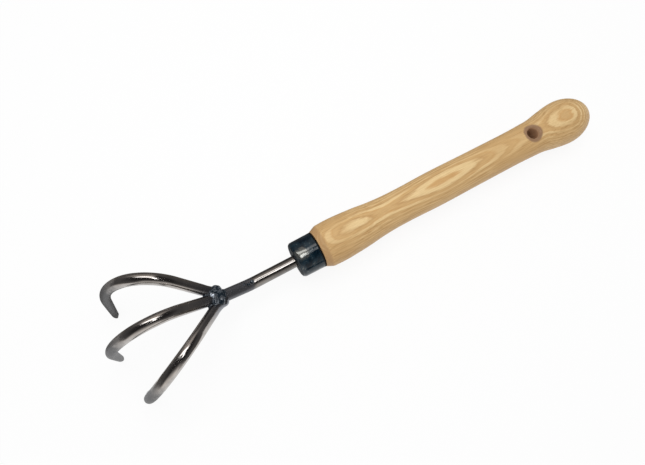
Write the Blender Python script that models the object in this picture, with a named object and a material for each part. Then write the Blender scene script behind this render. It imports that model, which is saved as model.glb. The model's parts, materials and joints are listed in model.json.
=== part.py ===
"""Three-tined hand cultivator: a turned ash handle, a steel ferrule, a neck rod and three hooked tines.

Every piece is built in the tool's frame, whose origin is the centre of the ferrule's front face, with
+X along the handle towards its bulb and +Z towards the tines' arched side. The whole tool then tips
forward until it rests on the points of the two side tines and on the bulb, as it lies on a bench.
"""

import math

import bmesh
import bpy
import numpy as np
from mathutils import Matrix, Vector

MM = 0.001

# Clearance kept between neighbouring pieces
SEAT_GAP = 0.3 * MM

# Ferrule, a steel cap that widens a little towards the wood
FERRULE_LENGTH = 17.0 * MM
FERRULE_DIAMETER = 25.0 * MM
FERRULE_FLARE = 0.5 * MM
FERRULE_WALL = 1.2 * MM
FERRULE_FRONT_WALL = 1.5 * MM
FERRULE_CORNER = 2.4 * MM
FERRULE_LIP = 0.4 * MM

# Neck rod, measured forward from the ferrule's face, and its tang, measured back from it
NECK_DIAMETER = 8.2 * MM
NECK_REACH = 33.4 * MM
NECK_CRANK_LENGTH = 19.1 * MM
NECK_CRANK_ANGLE = math.radians(19.0)
NECK_BEND_RADIUS = 26.0 * MM
TANG_LENGTH = 78.0 * MM
TANG_PARALLEL = 30.0 * MM
TANG_TIP_DIAMETER = 4.5 * MM

# Tines, all three bent alike: a straight root, an arch, a hook and a straight point
HEAD_PITCH = math.radians(29.8)
TINE_SPREAD = math.radians(31.3)
TINE_ROOT_RISE = math.radians(10.9)
TINE_ROOT_LENGTH = 33.4 * MM
ARCH_RADIUS = 27.9 * MM
ARCH_TURN = math.radians(67.7)
HOOK_RADIUS = 35.5 * MM
HOOK_TURN = math.radians(56.1)
TINE_POINT_LENGTH = 23.4 * MM
TINE_ROOT_DIAMETER = 7.0 * MM
TINE_BELLY_DIAMETER = 7.6 * MM
TINE_END_DIAMETER = 4.2 * MM
TINE_BELLY_PLACE = 0.5
TINE_TAPER_POWER = 1.6

# Ground end of each tine: the slopes of its two faces and the short edge between them
OUTER_GRIND_ANGLE = math.radians(42.0)
INNER_GRIND_ANGLE = math.radians(18.0)
POINT_OFFSET = 0.9 * MM
POINT_WIDTH = 0.7 * MM

# Roots of the side tines, bent in to lie half sunk against the neck
SIDE_ROOT_SINK = 0.4 * MM
SIDE_ROOT_BEND = 6.5 * MM
LEFT_ROOT_START = 1.2 * MM
RIGHT_ROOT_START = 2.2 * MM

# Weld beads over and under the joint of the tines and the neck
WELD_LENGTH = 11.5 * MM
WELD_OVERHANG = 3.9 * MM
WELD_HEIGHT = 2.9 * MM
WELD_SINK = 1.7 * MM
TOP_WELD_FORWARD = 5.2 * MM
UNDER_WELD_FORWARD = 1.2 * MM
WELD_RIPPLE = 0.3 * MM
WELD_RIPPLES = 3

# Turned handle behind the ferrule, and the step of its wood over the ferrule's rear edge
HANDLE_LENGTH = 230.5 * MM
SHOULDER_STEP = 0.4 * MM

# Outline of its front part: the run to each station from the one in front, and the diameter there
SHOULDER_EDGE = (4.8 * MM, 30.3 * MM)
SHOULDER_CREST = (8.2 * MM, 30.8 * MM)
SHOULDER_BACK = (12.1 * MM, 29.8 * MM)
FLANK_HIGH = (9.1 * MM, 28.4 * MM)
FLANK_LOW = (9.1 * MM, 26.4 * MM)
WAIST_START = (10.9 * MM, 24.9 * MM)
WAIST = (12.5 * MM, 24.5 * MM)

# Outline of its bulb: the run to each station from the one behind, and the diameter there
BULB_CREST = (22.3 * MM, 33.3 * MM)
BULB_FLANK = (13.5 * MM, 30.2 * MM)
BULB_FOOT = (10.0 * MM, 26.6 * MM)
BULB_START = (12.0 * MM, 25.4 * MM)

# Outline of its grip: the share of the way from the waist to the bulb, and the diameter there
GRIP_SWELL = (0.236, 25.5 * MM)
GRIP_NARROW = (0.613, 25.0 * MM)

# Hang hole through the handle, placed from the bulb's end
HANG_HOLE_FROM_END = 54.8 * MM
HANG_HOLE_DIAMETER = 8.0 * MM
HANG_HOLE_EASE = 2.0 * MM
CUTTER_OVERRUN = 4.0 * MM

# Facets
HANDLE_SIDES = 36
FERRULE_SIDES = 36
ROD_SIDES = 16
HOLE_SIDES = 32
CORNER_STEPS = 5
INNER_CORNER_STEPS = 3
LIP_STEPS = 2
OUTLINE_STEPS = 3
DOME_STEPS = 8
TINE_ROOT_SPANS = 4
TINE_POINT_SPANS = 3
SIDE_ROOT_SPANS = 5
PITCH_SAMPLES = 8
BEND_STEP_ANGLE = math.radians(7.0)
LEAST_BEND_STEPS = 2
WELD_SUBDIVISIONS = 3
SMOOTH_ANGLE = math.radians(35.0)

# Distances below which a point counts as on the axis, or on a cutting plane
ON_AXIS = 1e-7
ON_PLANE = 1e-6

# Rounds that settle the tilt at which the tool lies
TILT_ROUNDS = 6

# Colours of the finishes, as linear red, green and blue
ASH_COLOUR = (0.62, 0.42, 0.22)
BLACKENED_COLOUR = (0.03, 0.035, 0.045)
NECK_COLOUR = (0.09, 0.085, 0.08)
TINE_COLOUR = (0.075, 0.07, 0.068)
WELD_COLOUR = (0.05, 0.055, 0.065)

ALONG = Vector((1, 0, 0))
ACROSS = Vector((0, 1, 0))
LEFT, CENTRE, RIGHT = -1, 0, 1
UPPER, LOWER = 1, -1


def clear_scene():
    """Removes every object that the scene starts with."""
    for thing in list(bpy.data.objects):
        bpy.data.objects.remove(thing, do_unlink=True)


def material(name, colour, roughness, metallic):
    """A Principled BSDF material with plain values."""
    made = bpy.data.materials.new(name)
    made.use_nodes = True
    shader = made.node_tree.nodes["Principled BSDF"]
    shader.inputs["Base Color"].default_value = (*colour, 1.0)
    shader.inputs["Roughness"].default_value = roughness
    shader.inputs["Metallic"].default_value = metallic
    return made


def mesh_object(name, shape, finish):
    """An object made from a bmesh, with its normals outward and its round parts shaded smooth."""
    bmesh.ops.recalc_face_normals(shape, faces=shape.faces)
    mesh = bpy.data.meshes.new(name)
    shape.to_mesh(mesh)
    shape.free()
    mesh.shade_smooth()
    mesh.set_sharp_from_angle(angle=SMOOTH_ANGLE)
    if finish:
        mesh.materials.append(finish)
    made = bpy.data.objects.new(name, mesh)
    bpy.context.scene.collection.objects.link(made)
    return made


def cutter_object(name, shape):
    """A closed mesh that only cuts others."""
    made = mesh_object(name, shape, None)
    made.hide_render = True
    made.display_type = "WIRE"
    return made


def cut(target, cutter):
    """Takes the cutter's volume out of the target."""
    modifier = target.modifiers.new("cut_" + cutter.name, "BOOLEAN")
    modifier.operation = "DIFFERENCE"
    modifier.solver = "EXACT"
    modifier.object = cutter


def turned_shape(outline, sides):
    """A solid turned about the X axis from its half outline of (distance, radius) points.

    An outline that starts and ends on the axis is closed by it. Any other is a closed loop.
    """
    shape = bmesh.new()
    rings = []
    for distance, radius in outline:
        if radius < ON_AXIS:
            rings.append([shape.verts.new((distance, 0, 0))])
            continue
        ring = []
        for index in range(sides):
            angle = 2 * math.pi * index / sides
            ring.append(shape.verts.new((distance, radius * math.cos(angle), radius * math.sin(angle))))
        rings.append(ring)
    looped = len(rings[0]) > 1
    for index in range(len(rings) if looped else len(rings) - 1):
        join_rings(shape, rings[index], rings[(index + 1) % len(rings)])
    return shape


def join_rings(shape, first, second):
    """Faces between two rings of vertices, either of which may be one point."""
    sides = max(len(first), len(second))
    for index in range(sides):
        after = (index + 1) % sides
        corners = [first[index % len(first)], first[after % len(first)]]
        corners += [second[after % len(second)], second[index % len(second)]]
        shape.faces.new(list(dict.fromkeys(corners)))


def rod_shape(centres, radii, side_axis):
    """A round rod along a line of centres, whose rings keep one vertex pair near side_axis."""
    shape = bmesh.new()
    rings = []
    last = len(centres) - 1
    for index, (centre, radius) in enumerate(zip(centres, radii)):
        direction = (centres[min(index + 1, last)] - centres[max(index - 1, 0)]).normalized()
        sideways = (side_axis - side_axis.dot(direction) * direction).normalized()
        upward = sideways.cross(direction)
        ring = []
        for step in range(ROD_SIDES):
            angle = 2 * math.pi * (step + 0.5) / ROD_SIDES
            spoke = math.cos(angle) * sideways + math.sin(angle) * upward
            ring.append(shape.verts.new(centre + radius * spoke))
        rings.append(ring)
    for first, second in zip(rings, rings[1:]):
        join_rings(shape, first, second)
    shape.faces.new(rings[0])
    shape.faces.new(rings[-1])
    return shape


def slice_shape(shape, point, outward, reach=math.inf):
    """Cuts off what lies beyond a plane, within reach of a point on it, and closes the cut flat."""
    faces = [face for face in shape.faces if all((vertex.co - point).length < reach for vertex in face.verts)]
    edges = {edge for face in faces for edge in face.edges}
    parts = faces + list(edges) + list({vertex for edge in edges for vertex in edge.verts})
    made = bmesh.ops.bisect_plane(
        shape, geom=parts, dist=ON_PLANE, plane_co=point, plane_no=outward, clear_outer=True
    )
    rim = [part for part in made["geom_cut"] if isinstance(part, bmesh.types.BMEdge)]
    bmesh.ops.contextual_create(shape, geom=rim)


def smooth_outline(stations, steps):
    """Points on a smooth curve through (distance, radius) stations, level at the last one."""
    places = np.array([place for place, _ in stations])
    sizes = np.array([size for _, size in stations])
    slopes = np.gradient(sizes, places)
    slopes[-1] = 0.0
    points = []
    for index in range(len(stations) - 1):
        span = places[index + 1] - places[index]
        for step in range(steps):
            u = step / steps
            start = (2 * u**3 - 3 * u**2 + 1) * sizes[index] + (u**3 - 2 * u**2 + u) * span * slopes[index]
            end = (3 * u**2 - 2 * u**3) * sizes[index + 1] + (u**3 - u**2) * span * slopes[index + 1]
            points.append((float(places[index] + u * span), float(start + end)))
    points.append((float(places[-1]), float(sizes[-1])))
    return points


def corner_arc(centre_x, centre_r, radius, start, end, steps):
    """Points of an arc in the half outline's plane, from one angle to another in degrees."""
    points = []
    for step in range(steps + 1):
        angle = math.radians(start + (end - start) * step / steps)
        points.append((centre_x + radius * math.cos(angle), centre_r + radius * math.sin(angle)))
    return points


def bend_steps(turn):
    """How many straight steps a bend is made of."""
    return max(LEAST_BEND_STEPS, math.ceil(turn / BEND_STEP_ANGLE))


def tang_radius(distance):
    """The rod's radius behind the ferrule's face, where it tapers to the tang's tip."""
    taper = max(0.0, distance - TANG_PARALLEL) / (TANG_LENGTH - TANG_PARALLEL)
    return (NECK_DIAMETER + (TANG_TIP_DIAMETER - NECK_DIAMETER) * taper) / 2


def inner_corner():
    """Radius of the rounded corner inside the ferrule's front."""
    return max(FERRULE_CORNER - FERRULE_WALL, SEAT_GAP)


def ferrule():
    """The cap: a face with a hole for the neck, a rounded corner and a slightly flared wall."""
    front = FERRULE_DIAMETER / 2
    rear = (FERRULE_DIAMETER + FERRULE_FLARE) / 2
    hole = NECK_DIAMETER / 2 + SEAT_GAP
    outline = [(0.0, hole)]
    outline += corner_arc(FERRULE_CORNER, front - FERRULE_CORNER, FERRULE_CORNER, 180, 90, CORNER_STEPS)
    outline += corner_arc(FERRULE_LENGTH - FERRULE_LIP, rear - FERRULE_LIP, FERRULE_LIP, 90, 0, LIP_STEPS)
    outline.append((FERRULE_LENGTH, rear - FERRULE_WALL))
    corner = inner_corner()
    outline += corner_arc(
        FERRULE_FRONT_WALL + corner, front - FERRULE_WALL - corner, corner, 90, 180, INNER_CORNER_STEPS
    )
    outline.append((FERRULE_FRONT_WALL, hole))
    finish = material("blackened_steel", BLACKENED_COLOUR, roughness=0.3, metallic=0.9)
    return mesh_object("ferrule", turned_shape(outline, FERRULE_SIDES), finish)


def shoulder_face():
    """Distance from the ferrule's front face to the wooden face that its rear edge meets."""
    return FERRULE_LENGTH + SEAT_GAP


def handle_end():
    """Distance from the ferrule's front face to the bulb's pole."""
    return shoulder_face() + HANDLE_LENGTH


def handle_side():
    """Points of the handle's outer side, from its shoulder to the bulb's crest."""
    front = []
    place = shoulder_face()
    for run, diameter in (
        SHOULDER_EDGE,
        SHOULDER_CREST,
        SHOULDER_BACK,
        FLANK_HIGH,
        FLANK_LOW,
        WAIST_START,
        WAIST,
    ):
        place += run
        front.append((place, diameter / 2))
    bulb = []
    place = handle_end()
    for run, diameter in (BULB_CREST, BULB_FLANK, BULB_FOOT, BULB_START):
        place -= run
        bulb.insert(0, (place, diameter / 2))
    grip_start = front[-1][0]
    grip_length = bulb[0][0] - grip_start
    grip = [(grip_start + share * grip_length, diameter / 2) for share, diameter in (GRIP_SWELL, GRIP_NARROW)]
    return smooth_outline(front + grip + bulb, OUTLINE_STEPS)


def bulb_dome():
    """Points of the bulb's round end, from beside its crest to its pole."""
    crest_place, crest_radius = handle_side()[-1]
    reach = handle_end() - crest_place
    dome = []
    for step in range(1, DOME_STEPS):
        angle = math.pi / 2 * step / DOME_STEPS
        dome.append((crest_place + reach * math.sin(angle), crest_radius * math.cos(angle)))
    dome.append((handle_end(), 0.0))
    return dome


def handle_outline():
    """The handle's half outline: the tang's bore, the spigot inside the ferrule, the side and the dome."""
    spigot_front = FERRULE_FRONT_WALL + SEAT_GAP
    spigot_radius = FERRULE_DIAMETER / 2 - FERRULE_WALL - SEAT_GAP
    spigot_chamfer = inner_corner() + SEAT_GAP
    shoulder_foot = (FERRULE_DIAMETER + FERRULE_FLARE + SHOULDER_STEP) / 2
    bore_bottom = TANG_LENGTH + SEAT_GAP
    bore = NECK_DIAMETER / 2 + SEAT_GAP
    outline = [
        (bore_bottom, 0.0),
        (bore_bottom, tang_radius(TANG_LENGTH) + SEAT_GAP),
        (TANG_PARALLEL, bore),
        (spigot_front, bore),
        (spigot_front, spigot_radius - spigot_chamfer),
        (spigot_front + spigot_chamfer, spigot_radius),
        (shoulder_face(), spigot_radius),
        (shoulder_face(), shoulder_foot),
    ]
    return outline + handle_side() + bulb_dome()


def hang_hole_shape():
    """A cutter for the hang hole: a round bar that flares where it leaves the handle."""
    place = handle_end() - HANG_HOLE_FROM_END
    side_places, side_radii = zip(*handle_side())
    wall = float(np.interp(place, side_places, side_radii))
    radius = HANG_HOLE_DIAMETER / 2
    flare_start = wall - HANG_HOLE_EASE
    flare_end = wall + CUTTER_OVERRUN
    wide = radius + flare_end - flare_start
    outline = [(-flare_end, 0.0), (-flare_end, wide), (-flare_start, radius)]
    outline += [(flare_start, radius), (flare_end, wide), (flare_end, 0.0)]
    shape = turned_shape(outline, HOLE_SIDES)
    upright = Matrix.Rotation(-math.pi / 2, 4, "Y")
    shape.transform(Matrix.Translation(place * ALONG) @ upright)
    return shape


def handle():
    """The turned ash handle with its tang bore and hang hole."""
    finish = material("oiled_ash", ASH_COLOUR, roughness=0.45, metallic=0.0)
    made = mesh_object("handle", turned_shape(handle_outline(), HANDLE_SIDES), finish)
    cut(made, cutter_object("hang_hole_cutter", hang_hole_shape()))
    return made


def crank_direction():
    """The way that the neck points after its bend."""
    return Vector((-math.cos(NECK_CRANK_ANGLE), 0, math.sin(NECK_CRANK_ANGLE)))


def knot_point():
    """Where the lines of the neck and of the three tines meet."""
    return -NECK_REACH * ALONG + NECK_CRANK_LENGTH * crank_direction()


def head_forward():
    """Forward in the plane that the tines spread in."""
    return Vector((-math.cos(HEAD_PITCH), 0, math.sin(HEAD_PITCH)))


def head_up():
    """Square to the plane that the tines spread in, on its upper side."""
    return Vector((math.sin(HEAD_PITCH), 0, math.cos(HEAD_PITCH)))


def neck_line():
    """Centres of the neck rod from the tang's tip to the knot, with its bend rounded."""
    setback = NECK_BEND_RADIUS * math.tan(NECK_CRANK_ANGLE / 2)
    places = [TANG_LENGTH, TANG_PARALLEL, FERRULE_LENGTH, 0.0]
    centres = [place * ALONG for place in places]
    centre_of_bend = Vector((setback - NECK_REACH, 0, NECK_BEND_RADIUS))
    steps = bend_steps(NECK_CRANK_ANGLE)
    for step in range(steps + 1):
        angle = NECK_CRANK_ANGLE * step / steps
        offset = Vector((-math.sin(angle), 0, -math.cos(angle)))
        centres.append(centre_of_bend + NECK_BEND_RADIUS * offset)
    centres.append(knot_point() + NECK_DIAMETER / 2 * crank_direction())
    return centres


def neck_shape(extra=0.0):
    """The neck rod, or with extra radius the space that it takes."""
    centres = neck_line()
    radii = [tang_radius(max(0.0, centre.x)) + extra for centre in centres]
    return rod_shape(centres, radii, ACROSS)


def neck_rod():
    """The neck with its tang, cut square to the tines' plane where the centre tine meets it."""
    shape = neck_shape()
    slice_shape(shape, knot_point() - SEAT_GAP / 2 * head_forward(), head_forward())
    finish = material("dark_steel", NECK_COLOUR, roughness=0.28, metallic=1.0)
    return mesh_object("neck_rod", shape, finish)


def tine_pitch(length):
    """The tine's slope against the spreading plane at a length along it."""
    arch = min(max((length - TINE_ROOT_LENGTH) / ARCH_RADIUS, 0.0), ARCH_TURN)
    hook_start = TINE_ROOT_LENGTH + ARCH_RADIUS * ARCH_TURN
    hook = min(max((length - hook_start) / HOOK_RADIUS, 0.0), HOOK_TURN)
    return TINE_ROOT_RISE - arch - hook


def tine_stops():
    """Lengths along a tine at which its rings stand, close together only in its bends."""
    arch_end = TINE_ROOT_LENGTH + ARCH_RADIUS * ARCH_TURN
    hook_end = arch_end + HOOK_RADIUS * HOOK_TURN
    point_end = hook_end + TINE_POINT_LENGTH
    stops = [0.0]
    for start, end, spans in (
        (0.0, TINE_ROOT_LENGTH, TINE_ROOT_SPANS),
        (TINE_ROOT_LENGTH, arch_end, bend_steps(ARCH_TURN)),
        (arch_end, hook_end, bend_steps(HOOK_TURN)),
        (hook_end, point_end, TINE_POINT_SPANS),
    ):
        stops += [start + (end - start) * (step + 1) / spans for step in range(spans)]
    return stops


def tine_radius(share):
    """The tine's radius at a share of its length: thickest at its belly, thinnest at its point."""
    if share < TINE_BELLY_PLACE:
        blend = share / TINE_BELLY_PLACE
        return (TINE_ROOT_DIAMETER + (TINE_BELLY_DIAMETER - TINE_ROOT_DIAMETER) * blend) / 2
    blend = ((share - TINE_BELLY_PLACE) / (1 - TINE_BELLY_PLACE)) ** TINE_TAPER_POWER
    return (TINE_BELLY_DIAMETER + (TINE_END_DIAMETER - TINE_BELLY_DIAMETER) * blend) / 2


def tine_forward(side):
    """The way that a tine sets out in the spreading plane, for LEFT, CENTRE or RIGHT."""
    spread = side * TINE_SPREAD
    return math.cos(spread) * head_forward() + math.sin(spread) * ACROSS


def tine_line(side):
    """Centres and radii of a tine, from the knot to its point."""
    forward = tine_forward(side)
    stops = tine_stops()
    place = knot_point()
    centres = [place.copy()]
    for start, end in zip(stops, stops[1:]):
        stride = (end - start) / PITCH_SAMPLES
        for sample in range(PITCH_SAMPLES):
            pitch = tine_pitch(start + stride * (sample + 0.5))
            place = place + stride * (math.cos(pitch) * forward + math.sin(pitch) * head_up())
        centres.append(place.copy())
    return centres, [tine_radius(stop / stops[-1]) for stop in stops]


def root_bend(side, centres):
    """Centres of a side tine's root, which bends in to lie along the neck."""
    ahead = RIGHT_ROOT_START if side == RIGHT else LEFT_ROOT_START
    outward = (centres[1] - centres[0]).normalized()
    corner_reach = (NECK_DIAMETER / 2 - SIDE_ROOT_SINK) / abs(outward.y)
    corner = centres[0] + corner_reach * outward
    start = corner - (corner_reach - ahead) * crank_direction()
    end = corner + SIDE_ROOT_BEND * outward
    bend = []
    for step in range(SIDE_ROOT_SPANS + 1):
        u = step / SIDE_ROOT_SPANS
        bend.append((1 - u) ** 2 * start + 2 * u * (1 - u) * corner + u**2 * end)
    return bend


def tine_shape(side, extra=0.0):
    """A tine before grinding, or with extra radius the space that it takes."""
    centres, radii = tine_line(side)
    knot = centres[0]
    if side == CENTRE:
        setback = TINE_ROOT_DIAMETER / 2 * (centres[1] - knot).normalized()
        centres[0] = knot - setback
    else:
        bend = root_bend(side, centres)
        clear = (bend[-1] - knot).length + TINE_ROOT_DIAMETER / 2
        kept = [index for index, centre in enumerate(centres) if (centre - knot).length > clear]
        centres = bend + [centres[index] for index in kept]
        radii = [TINE_ROOT_DIAMETER / 2] * len(bend) + [radii[index] for index in kept]
    return rod_shape(centres, [radius + extra for radius in radii], head_up().cross(tine_forward(side)))


def grind_point(shape, side):
    """Grinds the end of a tine from its outer side, and a little from its inner side, to a short edge."""
    centres, _ = tine_line(side)
    along = (centres[-1] - centres[-2]).normalized()
    outer = along.cross(head_up().cross(tine_forward(side)))
    point = centres[-1] - POINT_OFFSET * outer
    outer_face = math.sin(OUTER_GRIND_ANGLE) * along + math.cos(OUTER_GRIND_ANGLE) * outer
    inner_face = math.sin(INNER_GRIND_ANGLE) * along - math.cos(INNER_GRIND_ANGLE) * outer
    slice_shape(shape, point, outer_face, TINE_POINT_LENGTH)
    slice_shape(shape, point - POINT_WIDTH * outer, inner_face, TINE_POINT_LENGTH)


def centre_tine(finish):
    """The centre tine, which starts at the neck's end."""
    shape = tine_shape(CENTRE)
    slice_shape(shape, knot_point() + SEAT_GAP / 2 * head_forward(), -head_forward())
    grind_point(shape, CENTRE)
    return mesh_object("centre_tine", shape, finish)


def side_tine(name, side, finish, spaces):
    """A side tine, whose root is cut to lie against the neck and the centre tine."""
    shape = tine_shape(side)
    grind_point(shape, side)
    made = mesh_object(name, shape, finish)
    for space in spaces:
        cut(made, space)
    return made


def weld_bead(name, level, ahead, finish, spaces):
    """A lumpy bead ahead of the knot, on the UPPER or LOWER side."""
    shape = bmesh.new()
    bmesh.ops.create_icosphere(shape, subdivisions=WELD_SUBDIVISIONS, radius=1.0)
    lean = math.cos(TINE_ROOT_RISE / 2) * head_forward() + math.sin(TINE_ROOT_RISE / 2) * head_up()
    centre = knot_point() + ahead * lean + level * NECK_DIAMETER / 2 * head_up()
    half_width = NECK_DIAMETER / 2 + WELD_OVERHANG
    for vertex in shape.verts:
        forward, across, upward = vertex.co
        ripple = WELD_RIPPLE * math.cos(2 * math.pi * WELD_RIPPLES * across) * (1 - across**2)
        vertex.co = centre + forward * (WELD_LENGTH / 2 + ripple) * lean
        vertex.co += across * half_width * ACROSS + upward * (WELD_HEIGHT + ripple) * head_up()
    foot = NECK_DIAMETER / 2 - WELD_SINK
    slice_shape(shape, knot_point() + level * foot * head_up(), -level * head_up())
    made = mesh_object(name, shape, finish)
    for space in spaces:
        cut(made, space)
    return made


def finished_points(piece):
    """The corner points of a finished piece, after its cuts."""
    graph = bpy.context.evaluated_depsgraph_get()
    shown = piece.evaluated_get(graph)
    mesh = shown.to_mesh()
    points = np.array([vertex.co[:] for vertex in mesh.vertices])
    shown.to_mesh_clear()
    return points


def resting_tilt(tine_points, handle_points):
    """The angle about +Y at which the tines' points and the bulb touch one level surface."""
    tilt = 0.0
    for _ in range(TILT_ROUNDS):
        down = np.array([math.sin(tilt), 0.0, -math.cos(tilt)])
        toe = tine_points[np.argmax(tine_points @ down)]
        heel = handle_points[np.argmax(handle_points @ down)]
        tilt = math.atan2(heel[2] - toe[2], heel[0] - toe[0])
    return tilt


def lay_down(pieces, tines, handle_piece):
    """Parents every piece to one empty, which lays the tool on a level surface at z = 0."""
    bpy.context.view_layer.update()
    side_points = np.vstack([finished_points(piece) for piece in tines])
    tilt = resting_tilt(side_points, finished_points(handle_piece))
    turn = np.array(Matrix.Rotation(tilt, 3, "Y"))
    points = np.vstack([finished_points(piece) for piece in pieces]) @ turn.T
    low, high = points.min(axis=0), points.max(axis=0)
    frame = bpy.data.objects.new("cultivator", None)
    bpy.context.scene.collection.objects.link(frame)
    frame.rotation_euler = (0.0, tilt, 0.0)
    frame.location = (-(low[0] + high[0]) / 2, -(low[1] + high[1]) / 2, -low[2])
    for thing in list(bpy.data.objects):
        if thing.type == "MESH":
            thing.parent = frame


def main():
    """Builds every piece in the tool's frame, then lays the tool down."""
    clear_scene()
    forged = material("forged_steel", TINE_COLOUR, roughness=0.32, metallic=1.0)
    welded = material("weld_metal", WELD_COLOUR, roughness=0.3, metallic=1.0)
    neck_space = cutter_object("neck_space", neck_shape(SEAT_GAP))
    left_space = cutter_object("left_tine_space", tine_shape(LEFT, SEAT_GAP))
    centre_space = cutter_object("centre_tine_space", tine_shape(CENTRE, SEAT_GAP))
    right_space = cutter_object("right_tine_space", tine_shape(RIGHT, SEAT_GAP))
    left = side_tine("left_tine", LEFT, forged, [neck_space, centre_space])
    right = side_tine("right_tine", RIGHT, forged, [neck_space, centre_space])
    grip = handle()
    pieces = [grip, ferrule(), neck_rod(), centre_tine(forged), left, right]
    around = [neck_space, left_space, centre_space, right_space]
    pieces.append(weld_bead("weld_bead_top", UPPER, TOP_WELD_FORWARD, welded, around))
    pieces.append(weld_bead("weld_bead_under", LOWER, UNDER_WELD_FORWARD, welded, around))
    lay_down(pieces, [left, right], grip)


main()
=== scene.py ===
"""Dresses a three-tined garden cultivator: ash handle, blackened ferrule, steel neck, tines and welds.

The tool's sizes are in millimetres in its own frame: the origin is the centre of the ferrule's front face,
+X runs along the handle to its bulb, and +Z points to the arched side of the tines. Finished meshes and
the studio are in metres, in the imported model's frame.
"""

from __future__ import annotations

import json
import logging
import math
from abc import ABC, abstractmethod
from collections.abc import Callable, Sequence
from dataclasses import dataclass
from enum import Enum, IntEnum
from itertools import accumulate

import bmesh
import bpy
import numpy as np
from bmesh.types import BMEdge, BMesh, BMVert
from bpy.types import ID, Material, Mesh, Node, NodeSocket, NodeTree, Object
from mathutils import Matrix, Vector, noise


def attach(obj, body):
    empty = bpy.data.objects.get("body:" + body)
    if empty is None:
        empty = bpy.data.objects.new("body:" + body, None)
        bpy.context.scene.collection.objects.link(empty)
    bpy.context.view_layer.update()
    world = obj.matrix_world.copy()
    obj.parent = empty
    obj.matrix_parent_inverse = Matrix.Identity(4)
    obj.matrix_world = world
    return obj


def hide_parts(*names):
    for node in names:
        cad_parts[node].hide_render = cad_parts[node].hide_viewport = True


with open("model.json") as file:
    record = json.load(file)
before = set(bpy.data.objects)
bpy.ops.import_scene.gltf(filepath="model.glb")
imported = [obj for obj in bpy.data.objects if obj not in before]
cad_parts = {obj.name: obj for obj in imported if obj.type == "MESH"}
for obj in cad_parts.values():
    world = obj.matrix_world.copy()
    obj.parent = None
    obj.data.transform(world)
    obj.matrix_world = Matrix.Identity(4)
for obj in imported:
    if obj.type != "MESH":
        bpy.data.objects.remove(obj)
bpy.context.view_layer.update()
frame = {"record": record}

Triple = tuple[float, float, float]
Colour = tuple[float, float, float]
Station = tuple[float, float]
Stops = Sequence[tuple[float, Colour]]

MM = 0.001
HALF = 0.5
BODY = "root"
FACE_MOUNT = "ferrule_face"
LENGTH_SHARE = "length_share"
GROUND_SHARE = "ground_share"
ALONG = Vector((1, 0, 0))
ACROSS = Vector((0, 1, 0))
UPRIGHT = Vector((0, 0, 1))
WHITE: Colour = (1.0, 1.0, 1.0)
MERGE_DISTANCE = 1e-5
FLAT_DISTANCE = 1e-3
FLAT_COSINE = 0.9999
SHARP_ANGLE = math.radians(32.0)
CORNER_PIECES = 5
RIM_PIECES = 2
BALL_DIVISIONS = 3
MIX_FIRST, MIX_SECOND, MIX_RESULT = 6, 7, 2
EVERY_WAY = {"use_axis_x": True, "use_axis_y": True, "use_axis_z": True}

LOG = logging.getLogger("cultivator")


class Slot(Enum):
    """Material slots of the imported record."""

    WOOD = "handle_wood"
    FERRULE = "ferrule_steel"
    NECK = "neck_steel"
    TINE = "tine_steel"
    WELD = "weld_steel"


class Side(IntEnum):
    """Which way a tine spreads, seen from the handle."""

    LEFT = -1
    CENTRE = 0
    RIGHT = 1


class Level(IntEnum):
    """Which side of the joint a weld bead lies on."""

    UPPER = 1
    LOWER = -1


def axes(x: Vector, y: Vector, z: Vector, origin: Vector) -> Matrix:
    """The matrix of a frame with these axes and this origin."""
    return Matrix.Translation(origin) @ Matrix((x, y, z)).transposed().to_4x4()


def tool_matrix() -> Matrix:
    """The tool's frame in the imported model's frame, read from the mount on the ferrule's face.

    Returns:
        A matrix that takes millimetres in the tool's frame to metres in the model's frame.
    """
    mount = next(m for m in frame["record"]["mounts"] if m["name"] == FACE_MOUNT)
    along = -Vector(mount["axis"]).normalized()
    up = along.cross(ACROSS).normalized()
    place = Vector((mount["pos_m"][0], 0.0, mount["pos_m"][2]))
    return axes(along, ACROSS, up, place) @ Matrix.Scale(MM, 4)


TOOL = tool_matrix()


def new_mesh(name: str, shape: BMesh) -> Mesh:
    """Makes a mesh.

    Args:
        name: Its name.
        shape: Its shape, which is freed.

    Returns:
        The mesh.
    """
    mesh = bpy.data.meshes.new(name)
    shape.to_mesh(mesh)
    shape.free()
    return mesh


def new_object(name: str, data: ID) -> Object:
    """Makes an object and links it to the scene.

    Args:
        name: Its name.
        data: Its mesh, lamp or lens.

    Returns:
        The object.
    """
    made = bpy.data.objects.new(name, data)
    bpy.context.scene.collection.objects.link(made)
    return made


def scratch_object(name: str, shape: BMesh) -> Object:
    """Makes an object that is still in the tool's frame.

    Args:
        name: Its name.
        shape: Its closed shape, which is freed.

    Returns:
        The object.
    """
    bmesh.ops.remove_doubles(shape, verts=shape.verts, dist=MERGE_DISTANCE)
    bmesh.ops.recalc_face_normals(shape, faces=shape.faces)
    return new_object(name, new_mesh(name, shape))


def bake_modifiers(piece: Object) -> None:
    """Bakes modifiers into a mesh.

    Args:
        piece: The scratch object that has them.
    """
    bpy.context.view_layer.update()
    shown = piece.evaluated_get(bpy.context.evaluated_depsgraph_get())
    old, piece.data = piece.data, bpy.data.meshes.new_from_object(shown)
    piece.modifiers.clear()
    bpy.data.meshes.remove(old)


def cut_away(piece: Object, cutter: Object) -> None:
    """Takes a cutter's volume out of a piece and removes the cutter.

    Args:
        piece: The scratch object that is cut.
        cutter: The scratch object that cuts.
    """
    modifier = piece.modifiers.new("cut", "BOOLEAN")
    modifier.operation = "DIFFERENCE"
    modifier.solver = "EXACT"
    modifier.object = cutter
    bake_modifiers(piece)
    mesh = cutter.data
    bpy.data.objects.remove(cutter, do_unlink=True)
    bpy.data.meshes.remove(mesh)


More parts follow.
